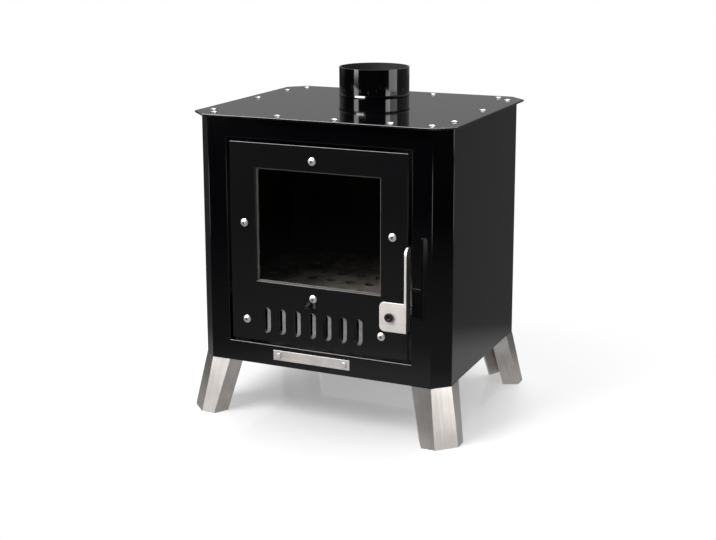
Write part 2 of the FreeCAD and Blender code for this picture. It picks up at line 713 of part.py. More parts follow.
def make_door():
    """The door plate with its window and vents, and the clamped glass."""
    places = glass_screw_places() + guide_screw_places()
    spindle = ((HANDLE_X, HANDLE_Z), d.spindle_radius + d.bush_wall)
    outlines = [
        centred(DOOR_LOW, DOOR_W, DOOR_H),
        centred(WINDOW_LOW, WINDOW_W, WINDOW_H),
    ]
    blank = upright("door_blank", outlines, screw_holes(places, SCREW_HOLE) + [spindle],
                    d.door_thickness, FRONT)
    tools = slots("door_vent", FRONT, d.door_thickness, ZERO)
    tools.append(knob_slot("door_knob_slot", FRONT, d.door_thickness))
    keep("door_plate", cut("door", blank, *tools))

    lap = d.glass_lap
    pane = centred(WINDOW_LOW - lap, WINDOW_W + lap * 2, WINDOW_H + lap * 2)
    show = d.gasket_show
    sight = centred(WINDOW_LOW + show, WINDOW_W - show * 2, WINDOW_H - show * 2)
    keep("glass_gasket", upright("gasket", [pane, sight], [], d.gasket_thickness, DOOR_BACK))
    keep("door_glass", upright("glass", [pane], [], d.glass_thickness, DOOR_BACK + d.gasket_thickness))
    make_retainer()

    stand = d.gasket_thickness + d.glass_thickness
    grip = d.door_thickness + stand + d.retainer_sheet
    screws, spacers, nuts = [], [], []
    for number, (x, z) in enumerate(glass_screw_places()):
        screws.append(socket_screw(f"glass_{number}", x, FRONT, z, grip + d.nut_height + d.screw_tail, "y",
                                   d.head_radius, d.head_height, d.screw_radius))
        spacers.append(sleeve(f"glass_spacer_{number}", x, z, stand))
        nuts.append(hex_nut(f"glass_{number}", x, FRONT + grip, z, "y"))
    stand = GUIDE_FRONT - DOOR_BACK
    grip = d.door_thickness + stand + d.guide_sheet
    for number, (x, z) in enumerate(guide_screw_places()):
        screws.append(socket_screw(f"guide_{number}", x, FRONT, z, grip + d.nut_height + d.screw_tail, "y",
                                   d.head_radius, d.head_height, d.screw_radius))
        spacers.append(sleeve(f"guide_spacer_{number}", x, z, stand))
        nuts.append(hex_nut(f"guide_{number}", x, FRONT + grip, z, "y"))
    keep("door_screws", group("door_screw_group", screws))
    keep("door_spacers", group("door_spacer_group", spacers))
    keep("door_nuts", group("door_nut_group", nuts))


def sleeve(name, x, z, length):
    """A spacer sleeve round a door screw, on the door's back."""
    outer = rod(f"{name}_outer", SCREW_HOLE + d.spacer_wall, length, (x, DOOR_BACK, z), "y")
    bore = rod(f"{name}_bore", SCREW_HOLE, length + d.overrun * 2, (x, DOOR_BACK - d.overrun, z), "y")
    return cut(name, outer, bore)


def make_retainer():
    """The frame behind the glass, with one ear for each glass screw."""
    lap = d.retainer_lap
    frame = upright("retainer_frame", [
        centred(WINDOW_LOW - lap, WINDOW_W + lap * 2, WINDOW_H + lap * 2),
        centred(WINDOW_LOW, WINDOW_W, WINDOW_H),
    ], [], d.retainer_sheet, GLASS_BACK)
    half = d.ear_width / 2
    side = WINDOW_W / 2 + lap
    ears = []
    for number, (x, z) in enumerate(glass_screw_places()):
        upper = number == 0
        lower = number == 1
        if upper or lower:
            edge = WINDOW_HIGH + lap if upper else WINDOW_LOW - lap
            tip = z + d.ear_margin if upper else z - d.ear_margin
            low, high = (edge, tip) if upper else (tip, edge)
            outline = [(x - half, low), (x + half, low), (x + half, high), (x - half, high)]
        else:
            left = number == 2
            near, far = (-side, x - d.ear_margin) if left else (side, x + d.ear_margin)
            outline = [(near, z - half), (far, z - half), (far, z + half), (near, z + half)]
        ears.append(upright(f"retainer_ear_{number}", [outline], [((x, z), SCREW_HOLE)],
                            d.retainer_sheet, GLASS_BACK))
    keep("glass_retainer", fuse("retainer", frame, *ears))


def make_air_slide():
    """The slotted stainless slide behind the vents, its guide and its knob."""
    rise = FLOOR + d.slot_rise
    run = ROW + (d.slide_left_end + d.slide_right_end) * SPREAD
    left = VENT_X - SHUT - ROW / 2 - d.slide_left_end * SPREAD
    low = rise - d.slide_height / 2
    blank = upright("slide_blank", [rectangle(left, low, run, d.slide_height)], [],
                    d.slide_sheet, SLIDE_FRONT)
    knob_z = FLOOR + d.knob_rise
    ear_low = low + d.slide_height
    ear_outline = rectangle(KNOB_X - d.tab_width / 2, ear_low, d.tab_width, knob_z + d.tab_margin - ear_low)
    ear = upright("slide_ear", [ear_outline], [], d.slide_sheet, SLIDE_FRONT)
    tools = slots("slide_vent", SLIDE_FRONT, d.slide_sheet, -SHUT)
    tools.append(rod("slide_knob_hole", d.knob_neck, d.slide_sheet + d.overrun * 2,
                     (KNOB_X, SLIDE_FRONT - d.overrun, knob_z), "y"))
    keep("air_slide", cut("slide", fuse("slide_solid", blank, ear), *tools))

    neck_start = FRONT - d.knob_neck_length
    neck_length = SLIDE_FRONT + d.slide_sheet - neck_start
    neck = rod("knob_neck_rod", d.knob_neck, neck_length, (KNOB_X, neck_start, knob_z), "y")
    grip = rod("knob_grip", d.knob_radius, d.knob_length, (KNOB_X, neck_start, knob_z), "-y")
    keep("air_knob", fuse("knob", neck, grip))

    margin = d.guide_margin
    guide_low = rise - d.guide_height / 2
    left_screw, right_screw = guide_screw_places()
    left_end = left_screw[0] - margin
    guide_run = right_screw[0] + margin - left_end
    guide = upright("guide_blank", [rectangle(left_end, guide_low, guide_run, d.guide_height)],
                    screw_holes(guide_screw_places(), SCREW_HOLE), d.guide_sheet, GUIDE_FRONT)
    keep("slide_guide", cut("guide", guide, *slots("guide_vent", GUIDE_FRONT, d.guide_sheet, ZERO)))


def make_hinges():
    """Concealed hinges: a lug on the door and a pin bracket on the casing, above and below."""
    half = d.lug_half
    hole = d.hinge_pin_radius + d.hinge_play
    reach = HINGE_Y + half - DOOR_BACK
    inside = FRONT + d.casing_sheet
    depth = HINGE_Y + half - inside
    flange = d.bracket_sheet
    for name, upper in (("lower", False), ("upper", True)):
        lug_z = DOOR_HIGH - d.lug_length if upper else DOOR_LOW
        lug = box(f"lug_{name}_block", (half * 2, reach, d.lug_length), (HINGE_X - half, DOOR_BACK, lug_z))
        bore = rod(f"lug_{name}_bore", hole, d.lug_length + d.overrun * 2,
                   (HINGE_X, HINGE_Y, lug_z - d.overrun))
        keep(f"hinge_lug_{name}", cut(f"lug_{name}", lug, bore))

        play = d.bracket_play
        shelf_z = DOOR_HIGH + play if upper else DOOR_LOW - play - flange
        corner_x = HINGE_X - d.bracket_half
        width = d.bracket_half * 2
        shelf = box(f"bracket_{name}_shelf", (width, depth, flange), (corner_x, inside, shelf_z))
        wall_z = shelf_z if upper else shelf_z + flange - d.bracket_drop
        wall = box(f"bracket_{name}_wall", (width, flange, d.bracket_drop), (corner_x, inside, wall_z))
        seat = rod(f"bracket_{name}_seat", d.hinge_pin_radius, flange + d.overrun * 2,
                   (HINGE_X, HINGE_Y, shelf_z - d.overrun))
        folded = fuse(f"bracket_{name}_solid", shelf, wall)
        keep(f"hinge_bracket_{name}", cut(f"bracket_{name}", folded, seat))

        pin_length = flange + play + d.lug_length
        pin_z = lug_z if upper else shelf_z
        pin = rod(f"pin_{name}", d.hinge_pin_radius, pin_length, (HINGE_X, HINGE_Y, pin_z))
        keep(f"hinge_pin_{name}", pin)


def make_handle():
    """The bent handle on its spindle, and the latch tongue that turns with it."""
    x = HANDLE_X
    z = HANDLE_Z
    flange_front = FRONT - d.handle_standoff - d.handle_sheet
    left = x - d.flange_left
    low = z - d.flange_height / 2
    width = d.flange_left + d.flange_right
    flange = upright("handle_flange", [rectangle(left, low, width, d.flange_height)], [], d.handle_sheet,
                     flange_front)
    blade_x = left + width - d.handle_sheet
    blade_height = d.flange_height + d.blade_length
    blade = box("handle_blade", (d.handle_sheet, d.blade_depth, blade_height), (blade_x, flange_front, low))
    solid = fuse("handle_bent", flange, blade)
    doc.recompute()
    rounded = doc.addObject("Part::Fillet", "handle_rounded")
    rounded.Base = solid
    rounded.Edges = handle_corners(solid, left.value, flange_front.value, low.value, blade_height.value)
    hole = rod("handle_hole", d.handle_screw_radius, d.handle_sheet + d.overrun * 2,
               (x, flange_front - d.overrun, z), "y")
    keep("handle_lever", cut("handle", rounded, hole))

    bush_radius = d.spindle_radius + d.bush_wall
    bush_length = d.bush_front + d.door_thickness
    bush = rod("bush_outer", bush_radius, bush_length, (x, FRONT - d.bush_front, z), "y")
    bush_bore = rod("bush_bore", d.spindle_radius + d.spindle_play, bush_length + d.overrun * 2,
                    (x, FRONT - d.bush_front - d.overrun, z), "y")
    keep("spindle_bush", cut("bush", bush, bush_bore))

    spindle_front = FRONT - d.handle_standoff
    tongue_front = DOOR_BACK + d.bush_back
    tongue_back = tongue_front + d.tongue_sheet
    spindle = rod("spindle_rod", d.spindle_radius, tongue_front - spindle_front, (x, spindle_front, z), "y")
    thread_front = rod("spindle_front_thread", d.handle_screw_radius, d.handle_thread + d.overrun,
                       (x, spindle_front - d.overrun, z), "y")
    thread_back = rod("spindle_back_thread", d.handle_screw_radius, d.latch_screw_length + d.overrun,
                      (x, tongue_front + d.overrun, z), "-y")
    keep("latch_spindle", cut("spindle", spindle, thread_front, thread_back))

    keep("handle_screw", socket_screw("handle", x, flange_front, z, d.handle_sheet + d.handle_thread, "y",
                                      d.handle_head_radius, d.handle_head_height, d.handle_screw_radius,
                                      domed=False))

    half = d.tongue_half
    arm = box("tongue_arm", (half * 2, d.tongue_sheet, d.tongue_length),
              (x - half, tongue_front, z - d.tongue_length))
    eye = rod("tongue_eye", half, d.tongue_sheet, (x, tongue_front, z), "y")
    eye_hole = rod("tongue_hole", d.handle_screw_radius, d.tongue_sheet + d.overrun * 2,
                   (x, tongue_front - d.overrun, z), "y")
    keep("latch_tongue", cut("tongue", fuse("tongue_solid", arm, eye), eye_hole))

    head = rod("latch_head", d.head_radius, d.head_height, (x, tongue_back, z), "y")
    shank = rod("latch_shank", d.handle_screw_radius, d.tongue_sheet + d.latch_screw_length,
                (x, tongue_back, z), "-y")
    keep("latch_screw", fuse("latch_screw_solid", head, shank))

    keeper_x = DOOR_W / 2 + d.door_gap
    keeper = box("keeper", (d.keeper_width, d.keeper_sheet, d.keeper_height),
                 (keeper_x, FRONT + d.casing_sheet, z - d.keeper_height / 2))
    keep("latch_keeper", keeper)


def handle_corners(solid, left, front, low, blade_height):
    """Fillets of the flange's left corners and of the blade's upper front corner."""
    flange_round = d.flange_round.value
    blade_round = d.blade_round.value
    near = d.handle_sheet.value / 2
    chosen = []
    for number, edge in enumerate(solid.Shape.Edges, start=1):
        middle = edge.CenterOfMass
        along = edge.tangentAt(edge.FirstParameter)
        if abs(middle.x - left) < near and abs(along.y) > abs(along.z):
            chosen.append((number, flange_round, flange_round))
        on_top = abs(middle.z - low - blade_height) < near
        if on_top and abs(middle.y - front) < near and abs(along.x) > abs(along.y):
            chosen.append((number, blade_round, blade_round))
    return chosen


def make_blank_plate():
    """A plain plate riveted to the front under the door."""
    low = FLOOR + d.strip_rise - d.strip_height / 2
    left = -d.strip_shift - d.strip_width / 2
    front = FRONT - d.strip_sheet
    z = FLOOR + d.strip_rise
    holes = [((rivet_x(side), z), d.rivet_radius + d.screw_fit) for side in (-1, 1)]
    keep("blank_plate", upright("strip", [rectangle(left, low, d.strip_width, d.strip_height)], holes,
                                d.strip_sheet, front))
    rivets = []
    through = d.strip_sheet + d.casing_sheet
    for side in (-1, 1):
        x = rivet_x(side)
        head = rod(f"rivet_{side + 1}_head", d.rivet_head, d.rivet_head_height, (x, front, z), "-y")
        shank = rod(f"rivet_{side + 1}_shank", d.rivet_radius, through, (x, front, z), "y")
        tail = rod(f"rivet_{side + 1}_tail", d.rivet_head, d.rivet_head_height, (x, front + through, z), "y")
        rivets.append(fuse(f"rivet_{side + 1}", head, shank, tail))
    keep("plate_rivets", group("rivet_group", rivets))


make_casing()
make_top()
make_legs()
make_firebox()
make_door()
make_air_slide()
make_hinges()
make_handle()
make_blank_plate()
doc.recompute()

# Every object must have solved, and every sub-part must be sound, before anything is written
for item in doc.Objects:
    if {"Invalid", "Error"} & set(item.State):
        raise RuntimeError(f"{item.Name} failed: {item.State}")
for node in nodes:
    shape = node.Shape
    if shape.isNull() or not shape.isValid() or not shape.Solids:
        raise RuntimeError(f"{node.Label} has no sound solid")

os.makedirs("parts", exist_ok=True)
for node in nodes:
    node.Shape.exportStep(f"parts/{node.Label}.step")
    print(f"{node.Label}: {len(node.Shape.Solids)} solids, {node.Shape.Volume:.0f} mm3")
whole = Part.makeCompound([node.Shape for node in nodes]).BoundBox
print(f"{len(nodes)} nodes, X {whole.XMin:.2f} {whole.XMax:.2f}, Y {whole.YMin:.2f} {whole.YMax:.2f}, "
      f"Z {whole.ZMin:.2f} {whole.ZMax:.2f}")
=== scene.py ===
"""Looks of a small camping wood stove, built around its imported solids."""

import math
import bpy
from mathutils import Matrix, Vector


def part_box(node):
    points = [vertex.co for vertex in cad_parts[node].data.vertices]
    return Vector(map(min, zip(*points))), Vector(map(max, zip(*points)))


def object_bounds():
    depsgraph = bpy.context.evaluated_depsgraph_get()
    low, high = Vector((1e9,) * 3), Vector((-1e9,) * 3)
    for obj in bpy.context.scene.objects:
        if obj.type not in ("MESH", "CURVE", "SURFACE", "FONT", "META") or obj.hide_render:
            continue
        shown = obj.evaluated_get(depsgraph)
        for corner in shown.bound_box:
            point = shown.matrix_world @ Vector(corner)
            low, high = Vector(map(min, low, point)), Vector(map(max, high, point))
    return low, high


bl_info = {
    "name": "Camping Wood Stove",
    "version": (1, 0, 0),
    "blender": (4, 5, 0),
    "location": "3D View > Sidebar > Stove",
    "description": "Dresses a small enamelled wood stove and sets its studio",
    "category": "Object",
}

import bpy
from bpy.props import FloatProperty, FloatVectorProperty, PointerProperty
from mathutils import Euler, Quaternion, Vector

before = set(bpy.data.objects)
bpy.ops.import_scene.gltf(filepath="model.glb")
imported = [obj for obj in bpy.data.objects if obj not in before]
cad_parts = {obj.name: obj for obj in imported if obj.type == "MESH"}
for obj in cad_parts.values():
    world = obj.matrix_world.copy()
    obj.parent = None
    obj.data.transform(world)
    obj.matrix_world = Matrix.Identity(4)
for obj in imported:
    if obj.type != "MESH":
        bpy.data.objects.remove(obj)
CAD_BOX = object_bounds()
MM = 0.001

# The photograph's width in pixels, and the camera's sensor in millimetres
PHOTO_WIDTH = 716
SENSOR = 36.0

# Rounding of edges: corners to join, faces to take as flat, and folds to take as sharp
WELD_REACH = 0.005 * MM
FLAT_ANGLE = math.radians(0.5)
SHARP_ANGLE = math.radians(40)
EDGE_STEPS = 3

# The floor as the eye sees it; reaches are in metres from the stove's middle, and its glow is weaker near
# the middle as a painted shadow
FLOOR_HALF = 4.0
FLOOR_CLOUD = 1 / 3
FLOOR_SHEEN = (0.04, 0.07)
GLOW_REACH = (0.1, 0.26)
GLOW_LEVEL = (0.32, 0.54)
FADE_REACH = (0.26, 0.6)

# The floor as the stove's gloss mirrors it: darker further out, even behind, dimmer on the left
NEAR_REACH = (0.35, 1.5)
NEAR_LEVEL = (0.24, 0.005)
BEHIND_REACH = (-0.1, 0.5)
BEHIND_LEVEL = 0.13
RING_REACH = (0.38, 0.5)
RING_LEVEL = (0.25, 0.0)
SIDE_REACH = (-0.6, 0.1)
SIDE_LEVEL = (0.45, 1.0)

# Four pools of light further out on the mirrored floor, a quarter turn apart
POOLS = 4.0
POOL_TURN = math.radians(-84)
POOL_EDGE = (0.6, 1.0)
POOL_LEVEL = (0.0, 3.0)
POOL_START = (1.2, 1.45)
POOL_STOP = (2.0, 2.25)

# The room around the stove: mirrored from dark in front to pale behind, and its plain light
BACKDROP_REACH = (-0.2, 0.35)
BACKDROP_LEVEL = (0.02, 0.4)
SKIRTING_REACH = (0.0, 0.3)
SKIRTING_LEVEL = (0.7, 1.0)
ROOM_LIGHT = 0.55

# The point that the lamps aim at
LAMP_AIM = (0.0, 0.0, 0.22)

# Settings of nodes that are used more than once
COLOURS = {"data_type": "RGBA"}
SMOOTH = {"interpolation_type": "SMOOTHSTEP"}
FALLING = (1.0, 0.0)


def middle_of(box):
    """The middle of a box."""
    return [(low + high) / 2 for low, high in zip(*box)]


def hex_colour(text):
    """Linear colour from an sRGB hex value."""
    parts = [int(text[place:place + 2], 16) / 255 for place in (1, 3, 5)]
    return tuple(part / 12.92 if part <= 0.04045 else ((part + 0.055) / 1.055) ** 2.4 for part in parts)


WHITE = hex_colour("#ffffff")


def colour_property(name, description, text):
    """A colour that a user may change, from its hex value."""
    return FloatVectorProperty(
        name=name, description=description, subtype="COLOR", size=3, min=0.0, max=1.0,
        default=hex_colour(text)
    )


def length_property(name, description, millimetres):
    """A length that a user may change, from its size in millimetres."""
    return FloatProperty(name=name, description=description, unit="LENGTH", default=millimetres * MM)


class StoveFinishes(bpy.types.PropertyGroup):
    """Colours and fine sizes of the stove's finishes."""

    enamel: colour_property("Enamel", "Gloss black stove enamel on the sheet metal", "#020203")
    door_enamel: colour_property("Door enamel", "Slightly greyer enamel of the door plate", "#0a0a0b")
    stainless: colour_property("Stainless", "Brushed stainless sheet", "#d0cbc7")
    stainless_shade: colour_property("Stainless shade", "Darker clouds in the brushed stainless", "#b4afab")
    # Painted light: the handle's two colours are paler copies of the stainless, standing in for the
    # brighter light on its flange
    handle: colour_property("Handle", "Paler stainless of the bent handle", "#ece7e3")
    handle_shade: colour_property("Handle shade", "Darker clouds in the handle's stainless", "#d6d1cd")
    # Painted shade in part: the slide's two greys are darkened for the slide that sits in shade behind the
    # door, over a dull zinc finish
    galvanised: colour_property("Galvanised", "Dull zinc-coated sheet of the air slide", "#a3a2a0")
    galvanised_shade: colour_property("Galvanised shade", "Darker spangle of the zinc coat", "#868583")
    fastener: colour_property("Fastener", "Bright zinc-plated screws, nuts and rivets", "#dfddd9")
    # Painted shade: the top's screws get a darker copy of the bright zinc, to tone down the light falling
    # on their heads
    shaded_top_fastener: colour_property(
        "Top fastener", "Zinc-plated screws of the top, darkened as painted shade", "#a09d98"
    )
    # Painted shade: a dark colour mixed into the screws' sockets and hollows, where shade falls
    socket_shade: colour_property("Socket shade", "Dark grime in the sockets of the screws", "#161514")
    scale_steel: colour_property(
        "Scale steel", "Bare steel darkened by heat, inside the firebox", "#5e5c5a"
    )
    soot: colour_property("Soot", "Soot on the firebox steel", "#2a2928")
    oxide: colour_property(
        "Black oxide", "Oil-blackened steel of the handle screw and the air knob", "#1b1413"
    )
    fibre: colour_property("Fibre", "Glass-fibre gasket", "#4a4844")
    bronze: colour_property("Bronze", "Sintered bronze bush", "#a5814d")
    pane: colour_property("Pane", "Ceramic glass of the window", "#f4f1ea")
    door_edge: length_property("Door edge", "Rounding of the thick door plate's edges", 0.65)
    sheet_edge: length_property("Sheet edge", "Rounding of enamelled sheet edges", 0.9)
    steel_edge: length_property("Steel edge", "Rounding of stainless sheet edges", 0.4)
    knob_edge: length_property("Knob edge", "Rounding of the knob and the handle's screw", 0.8)
    peel: length_property("Orange peel", "Size of the enamel's gentle waves", 9.0)
    grain: length_property(
        "Brush grain", "Width of the brushed lines, drawn coarser than real to show", 0.6
    )
    lean: FloatProperty(
        name="Leg lean", description="Outward lean of the legs that their brushing follows", default=0.186
    )


class StoveStudio(bpy.types.PropertyGroup):
    """Camera and floor of the pale studio."""

    place: FloatVectorProperty(
        name="Camera", description="Place of the camera", subtype="TRANSLATION", unit="LENGTH",
        default=(0.7458, -1.6766, 0.6803)
    )
    yaw: FloatProperty(
        name="Yaw", description="Turn of the camera to the left", subtype="ANGLE", default=0.4309
    )
    pitch: FloatProperty(name="Pitch", description="Dip of the camera", subtype="ANGLE", default=0.2024)
    roll: FloatProperty(name="Roll", description="Lean of the camera", subtype="ANGLE", default=-0.0045)
    focal: FloatProperty(name="Focal length", description="Focal length in photo pixels", default=1328.0)
    across: FloatProperty(name="Shift across", description="Sideways shift in photo pixels", default=15.0)
    down: FloatProperty(name="Shift down", description="Downward shift in photo pixels", default=80.0)
    floor: colour_property("Floor", "Pale gloss floor", "#858585")
    floor_bounce: colour_property("Floor bounce", "Floor as other rays meet it", "#8a8a8a")


def add_node(tree, kind, settings=None, **links):
    """Adds one node, and sets or links its inputs by name, or by number after an underscore."""
    node = tree.nodes.new(kind)
    for name, value in (settings or {}).items():
        setattr(node, name, value)
    for name, value in links.items():
        socket = node.inputs[int(name[1:]) if name[0] == "_" else name.replace("_", " ")]
        if isinstance(value, bpy.types.NodeSocket):
            tree.links.new(value, socket)
        elif socket.type == "RGBA" and len(value) == 3:
            socket.default_value = (*value, 1.0)
        else:
            socket.default_value = value
    return node


def new_material(name):
    """An empty node material and its node tree."""
    material = bpy.data.materials.new(name)
    material.use_nodes = True
    material.node_tree.nodes.clear()
    return material, material.node_tree


def finish_surface(tree, shader):
    """Links a shader to the material's output."""
    add_node(tree, "ShaderNodeOutputMaterial", Surface=shader)


def span(reach=(0.0, 1.0), level=(0.0, 1.0)):
    """Inputs that map a reach of values to a range of levels."""
    return {"From_Min": reach[0], "From_Max": reach[1], "To_Min": level[0], "To_Max": level[1]}


def finishes():
    """The stove's finish settings."""
    return bpy.context.scene.stove_finishes


def stove_enamel(name, colour, heart):
    """Gloss stove enamel: deep black, mirror-like, with a faint orange peel; matt and sooty inside."""
    material, tree = new_material(name)
    wipe_size = 60 * MM
    peel_depth = 0.02 * MM
    polished = (0.05, 0.1)
    sooty = 0.8
    inside = (-1 * MM, 1 * MM)
    whole = add_node(tree, "ShaderNodeTexCoord")
    place = whole.outputs["Object"]
    out = add_node(tree, "ShaderNodeVectorMath", {"operation": "SUBTRACT"}, _0=place, _1=heart)
    outward = add_node(
        tree, "ShaderNodeVectorMath", {"operation": "DOT_PRODUCT"}, _0=out.outputs["Vector"],
        _1=whole.outputs["Normal"]
    )
    soot = add_node(tree, "ShaderNodeMapRange", Value=outward.outputs["Value"], **span(inside, FALLING))
    peel = add_node(
        tree, "ShaderNodeTexNoise", Vector=place, Scale=1 / finishes().peel, Detail=1.0, Roughness=0.4
    )
    wipe = add_node(
        tree, "ShaderNodeTexNoise", Vector=place, Scale=1 / wipe_size, Detail=3.0, Roughness=0.6
    )
    rough = add_node(tree, "ShaderNodeMapRange", Value=wipe.outputs["Fac"], **span(level=polished))
    sheen = add_node(
        tree, "ShaderNodeMix", _0=soot.outputs["Result"], _2=rough.outputs["Result"], _3=sooty
    )
    bump = add_node(tree, "ShaderNodeBump", Height=peel.outputs["Fac"], Strength=0.05, Distance=peel_depth)
    shader = add_node(
        tree, "ShaderNodeBsdfPrincipled", Base_Color=colour, Roughness=sheen.outputs[0],
        IOR=1.5, Normal=bump.outputs["Normal"]
    )
    finish_surface(tree, shader.outputs["BSDF"])
    return material


def casing_enamel():
    """Deep black enamel of the casing and the top."""
    return stove_enamel("gloss_stove_enamel", finishes().enamel, middle_of(CAD_BOX))


def collar_enamel():
    """The same enamel, sooty inside the flue collar."""
    return stove_enamel("collar_stove_enamel", finishes().enamel, middle_of(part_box("flue_collar")))


def door_enamel():
    """The door's enamel, a shade greyer than the casing's."""
    return stove_enamel("door_stove_enamel", finishes().door_enamel, middle_of(CAD_BOX))


def clouded_metal(name, light, shade, cloud_size, stretch, rough, relief, side_share=1.0, lean=0.0):
    """Sheet metal with fine drawn lines and soft clouds; its sides may be smoother than its front."""
    material, tree = new_material(name)
    line_depth = 0.02 * MM
    mottle = (0.75, 1.25)
    whole = add_node(tree, "ShaderNodeTexCoord")
    place = whole.outputs["Object"]
    heart = middle_of(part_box("casing_wrap"))
    out = add_node(
        tree, "ShaderNodeVectorMath", {"operation": "SUBTRACT"}, _0=place, _1=(0.0, heart[1], 0.0)
    )
    fold = add_node(tree, "ShaderNodeVectorMath", {"operation": "ABSOLUTE"}, _0=out.outputs["Vector"])
    rise = add_node(tree, "ShaderNodeSeparateXYZ", Vector=place)
    along = add_node(
        tree, "ShaderNodeVectorMath", {"operation": "MULTIPLY_ADD"}, _0=rise.outputs["Z"],
        _1=(lean, lean, 0.0), _2=fold.outputs["Vector"]
    )
    grain = finishes().grain
    drawn = add_node(
        tree, "ShaderNodeMapping", Vector=along.outputs["Vector"],
        Scale=[1 / (grain * part) for part in stretch]
    )
    lines = add_node(tree, "ShaderNodeTexNoise", Vector=drawn.outputs["Vector"], Scale=1.0, Detail=3.0)
    cloud = add_node(tree, "ShaderNodeTexNoise", Vector=place, Scale=1 / cloud_size, Detail=2.0)
    sheen = add_node(tree, "ShaderNodeMapRange", Value=lines.outputs["Fac"], **span(level=rough))
    facing = add_node(tree, "ShaderNodeSeparateXYZ", Vector=whole.outputs["Normal"])
    front = add_node(tree, "ShaderNodeMath", {"operation": "ABSOLUTE"}, _0=facing.outputs["Y"])
    smooth = add_node(
        tree, "ShaderNodeMapRange", Value=front.outputs["Value"], **span(level=(side_share, 1.0))
    )
    polish = add_node(
        tree, "ShaderNodeMath", {"operation": "MULTIPLY"}, _0=sheen.outputs["Result"],
        _1=smooth.outputs["Result"]
    )
    streaks = add_node(tree, "ShaderNodeMath", _0=cloud.outputs["Fac"], _1=lines.outputs["Fac"])
    share = add_node(tree, "ShaderNodeMapRange", Value=streaks.outputs["Value"], **span(mottle))
    tone = add_node(tree, "ShaderNodeMix", COLOURS, _0=share.outputs["Result"], _6=light, _7=shade)
    bump = add_node(
        tree, "ShaderNodeBump", Height=lines.outputs["Fac"], Strength=relief, Distance=line_depth
    )
    shader = add_node(
        tree, "ShaderNodeBsdfPrincipled", Base_Color=tone.outputs[2], Metallic=1.0,
        Roughness=polish.outputs["Value"], Normal=bump.outputs["Normal"]
    )
    finish_surface(tree, shader.outputs["BSDF"])
    return material


def brushed_upright():
    """Brushed stainless of the legs: fine lines down each leg and a soft, bright sheen."""
    look = finishes()
    return clouded_metal(
        "brushed_stainless_upright", look.stainless, look.stainless_shade, cloud_size=35 * MM,
        stretch=(2, 2, 150), rough=(0.27, 0.31), relief=0.02, lean=look.lean
    )


def brushed_level():
    """Brushed stainless of the plain plate: fine level lines and a dull sheen."""
    look = finishes()
    return clouded_metal(
        "brushed_stainless_level", look.stainless, look.stainless_shade, cloud_size=35 * MM,
        stretch=(150, 150, 1), rough=(0.5, 0.62), relief=0.3
    )


def brushed_handle():
    """Brushed stainless of the handle and the latch, paler than the legs' as painted light: dull in front
    and smoother on its sides.
    """
    look = finishes()
    return clouded_metal(
        "brushed_stainless_handle", look.handle, look.handle_shade, cloud_size=35 * MM,
        stretch=(150, 150, 1), rough=(0.5, 0.62), relief=0.3, side_share=0.35
    )


def galvanised_sheet():
    """Zinc-coated steel of the air slide: dull grey with a faint spangle, its grey partly painted shade for
    the slide behind the door.
    """
    look = finishes()
    return clouded_metal(
        "galvanised_sheet", look.galvanised, look.galvanised_shade, cloud_size=6 * MM,
        stretch=(3, 3, 3), rough=(0.45, 0.6), relief=0.2
    )


def zinc_plate(name, colour):
    """Zinc-plated screws: bright, a little cloudy, with a soft sheen, and painted shade darkening their
    sockets.
    """
    material, tree = new_material(name)
    cloud_size = 3 * MM
    socket_reach = 3 * MM
    shade_reach = (0.45, 0.8)
    place = add_node(tree, "ShaderNodeTexCoord").outputs["Object"]
    cloud = add_node(tree, "ShaderNodeTexNoise", Vector=place, Scale=1 / cloud_size, Detail=2.0)
    rough = add_node(tree, "ShaderNodeMapRange", Value=cloud.outputs["Fac"], **span(level=(0.36, 0.5)))
    # Painted shade: ambient occlusion darkens the sockets and other hollows towards the socket shade colour
    open_sky = add_node(tree, "ShaderNodeAmbientOcclusion", {"samples": 8}, Distance=socket_reach)
    depth = add_node(tree, "ShaderNodeMapRange", Value=open_sky.outputs["AO"], **span(shade_reach))
    tone = add_node(
        tree, "ShaderNodeMix", COLOURS, _0=depth.outputs["Result"], _6=finishes().socket_shade, _7=colour
    )
    shader = add_node(
        tree, "ShaderNodeBsdfPrincipled", Base_Color=tone.outputs[2], Metallic=1.0,
        Roughness=rough.outputs["Result"]
    )
    finish_surface(tree, shader.outputs["BSDF"])
    return material


def bright_zinc():
    """Bright zinc plate of the screws, nuts, rivets and pins."""
    return zinc_plate("bright_zinc_plate", finishes().fastener)


def shaded_zinc():
    """Zinc plate of the top's screws: a greyer copy of the bright zinc, painted shade that tones down the
    light on their heads.
    """
    return zinc_plate("shaded_zinc_plate", finishes().shaded_top_fastener)


def heat_darkened_steel():
    """Bare steel inside the firebox: dull grey mill scale with patches of soot."""
    material, tree = new_material("heat_darkened_steel")
    look = finishes()
    patch_size = 45 * MM
    grit_size = 1.5 * MM
    grit_depth = 0.05 * MM
    sooted = (0.35, 0.7)
    place = add_node(tree, "ShaderNodeTexCoord").outputs["Object"]
    patch = add_node(
        tree, "ShaderNodeTexNoise", Vector=place, Scale=1 / patch_size, Detail=5.0, Roughness=0.65
    )
    grit = add_node(tree, "ShaderNodeTexNoise", Vector=place, Scale=1 / grit_size, Detail=2.0)
    share = add_node(tree, "ShaderNodeMapRange", Value=patch.outputs["Fac"], **span(sooted))
    tone = add_node(
        tree, "ShaderNodeMix", COLOURS, _0=share.outputs["Result"], _6=look.scale_steel, _7=look.soot
    )
    rough = add_node(tree, "ShaderNodeMapRange", Value=patch.outputs["Fac"], **span(level=(0.38, 0.7)))
    bump = add_node(tree, "ShaderNodeBump", Height=grit.outputs["Fac"], Strength=0.3, Distance=grit_depth)
    shader = add_node(
        tree, "ShaderNodeBsdfPrincipled", Base_Color=tone.outputs[2], Metallic=0.15,
        Roughness=rough.outputs["Result"], Normal=bump.outputs["Normal"]
    )
    finish_surface(tree, shader.outputs["BSDF"])
    return material


